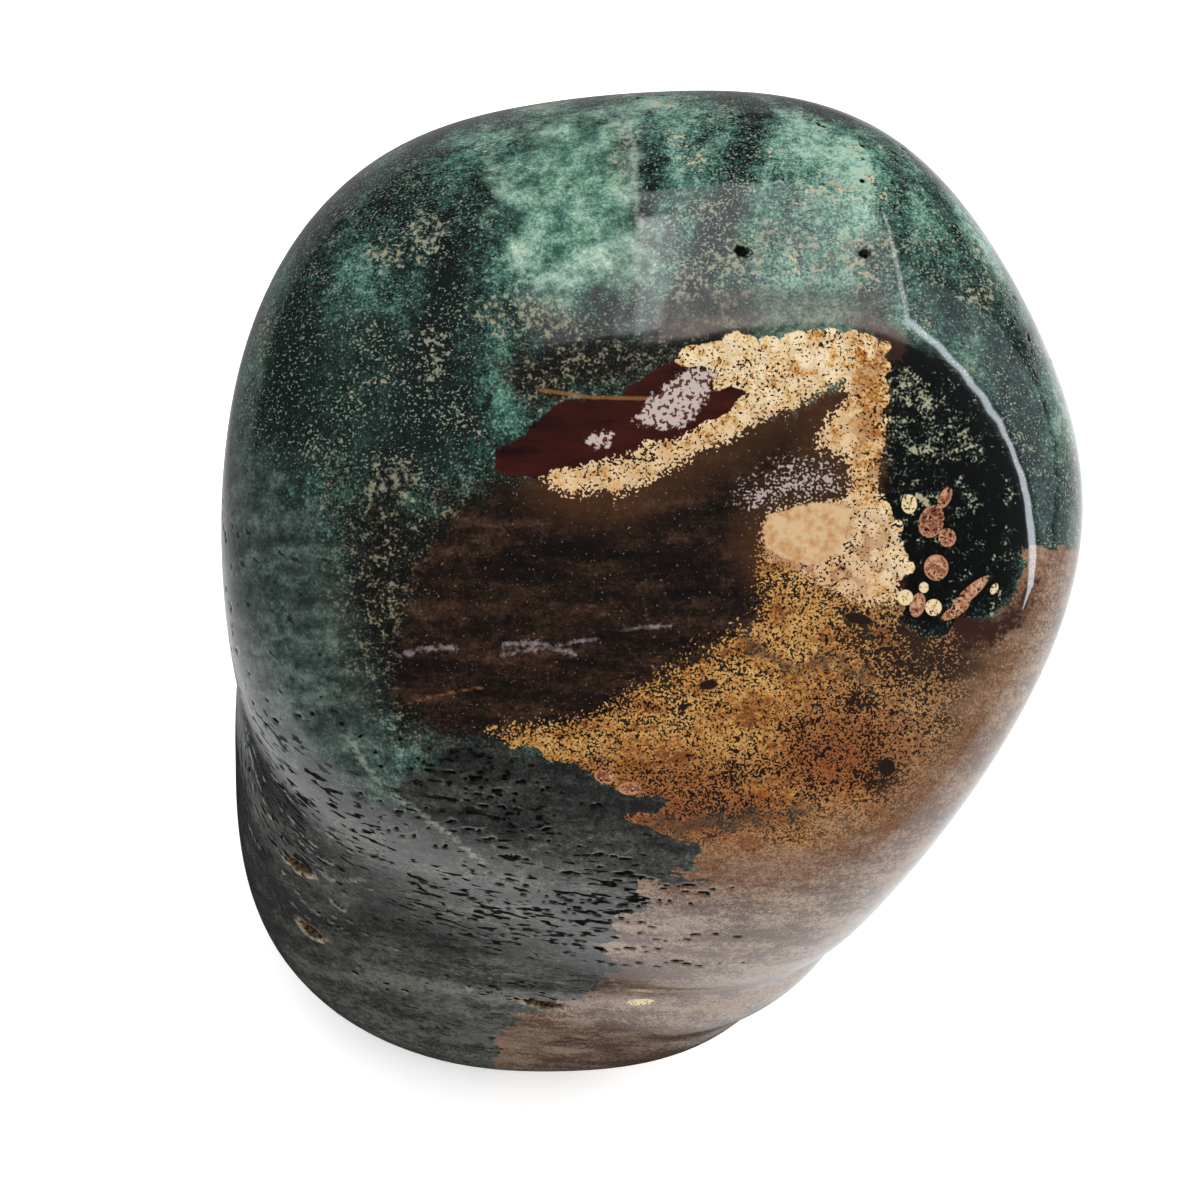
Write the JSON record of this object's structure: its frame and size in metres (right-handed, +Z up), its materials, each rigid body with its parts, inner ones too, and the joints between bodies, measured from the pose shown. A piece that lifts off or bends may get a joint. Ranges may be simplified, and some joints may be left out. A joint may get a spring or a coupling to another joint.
{
  "type": "polished jasper freeform",
  "caption": "Standing freeform of polished orbicular jasper: one rounded natural stone ground to broad soft faces, resting on a small flat cut foot.",
  "frame": {"origin": "on the plane of the cut foot, under the middle of the stone's bounding box", "axes": "+Z up from the cut foot, -Y towards the broad domed show face, +X to the right of a viewer facing it"},
  "size_m": [0.0774, 0.0766, 0.0946],
  "materials": {
    "jasper": "polished"
  },
  "bodies": {
    "root": {"jasper_stone": "jasper"}
  },
  "joints": []
}
